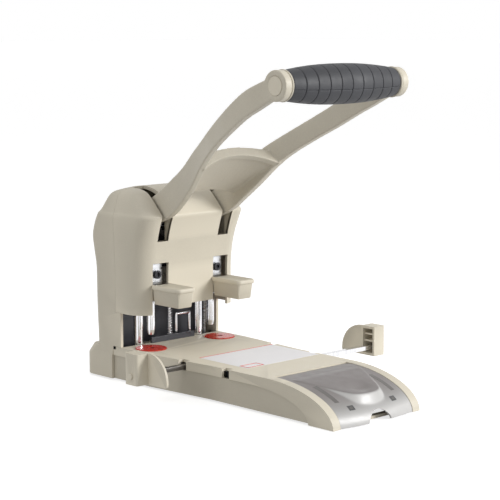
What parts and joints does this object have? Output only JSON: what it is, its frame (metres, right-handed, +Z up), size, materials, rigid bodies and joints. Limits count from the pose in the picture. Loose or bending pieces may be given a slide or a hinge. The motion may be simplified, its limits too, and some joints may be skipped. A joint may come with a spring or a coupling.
{
  "type": "two-hole paper punch",
  "caption": "Heavy duty lever paper punch with hollow pins, turnable cutting discs, sliding side guides and a smoked storage lid on a long curved base.",
  "frame": {"origin": "on the table, midway between the two punch pins", "axes": "+X to the right seen from the front, +Y to the back, +Z up; the lever's grip is towards -Y"},
  "size_m": [0.2838, 0.3453, 0.3215],
  "materials": {
    "body_plastic": "satin",
    "panel_plastic": "satin",
    "lever_paint": "satin",
    "grip_rubber": "matte",
    "bright_steel": "polished",
    "plate_steel": "brushed",
    "black_steel": "blackened",
    "bush_brass": "machined",
    "red_plastic": "translucent",
    "smoked_plastic": "translucent"
  },
  "bodies": {
    "frame": {"base_shell": "panel_plastic", "rubber_strips": "grip_rubber", "deck_cover": "body_plastic", "bed_plate": "plate_steel", "anvil_block": "plate_steel", "frame_plate_left": "plate_steel", "frame_plate_right": "plate_steel", "frame_back": "black_steel", "frame_screws": "black_steel", "guide_columns": "bright_steel", "column_brackets": "black_steel", "pivot_bushes": "bush_brass", "front_cover": "body_plastic", "rear_cover": "body_plastic", "paper_stop": "black_steel", "stop_bracket": "bright_steel", "spring_rod": "bright_steel", "return_spring": "bright_steel", "disc_spindles": "black_steel", "guide_rails": "black_steel", "storage_tray": "panel_plastic"},
    "lever": {"lever_yoke": "lever_paint", "cam_left": "black_steel", "cam_right": "black_steel", "pivot_shaft": "bright_steel", "shaft_spacer": "plate_steel", "shaft_collars": "plate_steel", "retaining_rings": "black_steel", "grip_rod": "bright_steel", "grip": "grip_rubber", "grip_collar_left": "body_plastic", "grip_collar_right": "body_plastic", "grip_cap_left": "body_plastic", "grip_cap_right": "body_plastic"},
    "carriage": {"crosshead": "plate_steel", "crosshead_bushes": "bush_brass", "cam_pads": "black_steel", "punch_pin_left": "bright_steel", "punch_pin_right": "bright_steel", "clamp_plates": "plate_steel", "clamp_screws": "black_steel", "knob_left": "body_plastic", "knob_right": "body_plastic"},
    "disc_left": {"cutting_disc_left": "red_plastic"},
    "disc_right": {"cutting_disc_right": "red_plastic"},
    "guide_left": {"guide_bar_left": "bright_steel", "guide_stop_left": "body_plastic", "guide_screw_left": "black_steel"},
    "guide_right": {"guide_bar_right": "bright_steel", "guide_stop_right": "body_plastic", "guide_screw_right": "black_steel"},
    "lid": {"storage_lid": "smoked_plastic"}
  },
  "joints": [
    {"name": "lever_pivot", "type": "hinge", "parent": "frame", "child": "lever", "pos_m": [0, 0.05, 0.145], "axis": [1, 0, 0], "range_deg": [-14, 13], "stiffness_Nm_per_rad": 6, "springref_deg": -20.05},
    {"name": "punch_slide", "type": "slide", "parent": "frame", "child": "carriage", "axis": [0, 0, -1], "range_m": [-0.01222, 0.01135], "deforming": ["return_spring"]},
    {"name": "disc_left_turn", "type": "hinge", "parent": "frame", "child": "disc_left", "pos_m": [-0.0462, -0.0077, 0.034], "axis": [0, 0, 1], "continuous": true},
    {"name": "disc_right_turn", "type": "hinge", "parent": "frame", "child": "disc_right", "pos_m": [0.0462, -0.0077, 0.034], "axis": [0, 0, 1], "continuous": true},
    {"name": "guide_left_slide", "type": "slide", "parent": "frame", "child": "guide_left", "axis": [1, 0, 0], "range_m": [-0.0385, 0.04]},
    {"name": "guide_right_slide", "type": "slide", "parent": "frame", "child": "guide_right", "axis": [1, 0, 0], "range_m": [-0.07, 0.01]},
    {"name": "storage_lid_hinge", "type": "hinge", "parent": "frame", "child": "lid", "pos_m": [0, -0.189, 0.03091], "axis": [-1, 0, 0], "range_deg": [0, 75]}
  ],
  "couplings": [
    {"joint": "punch_slide", "follows": "lever_pivot", "m_per_rad": 0.05}
  ]
}
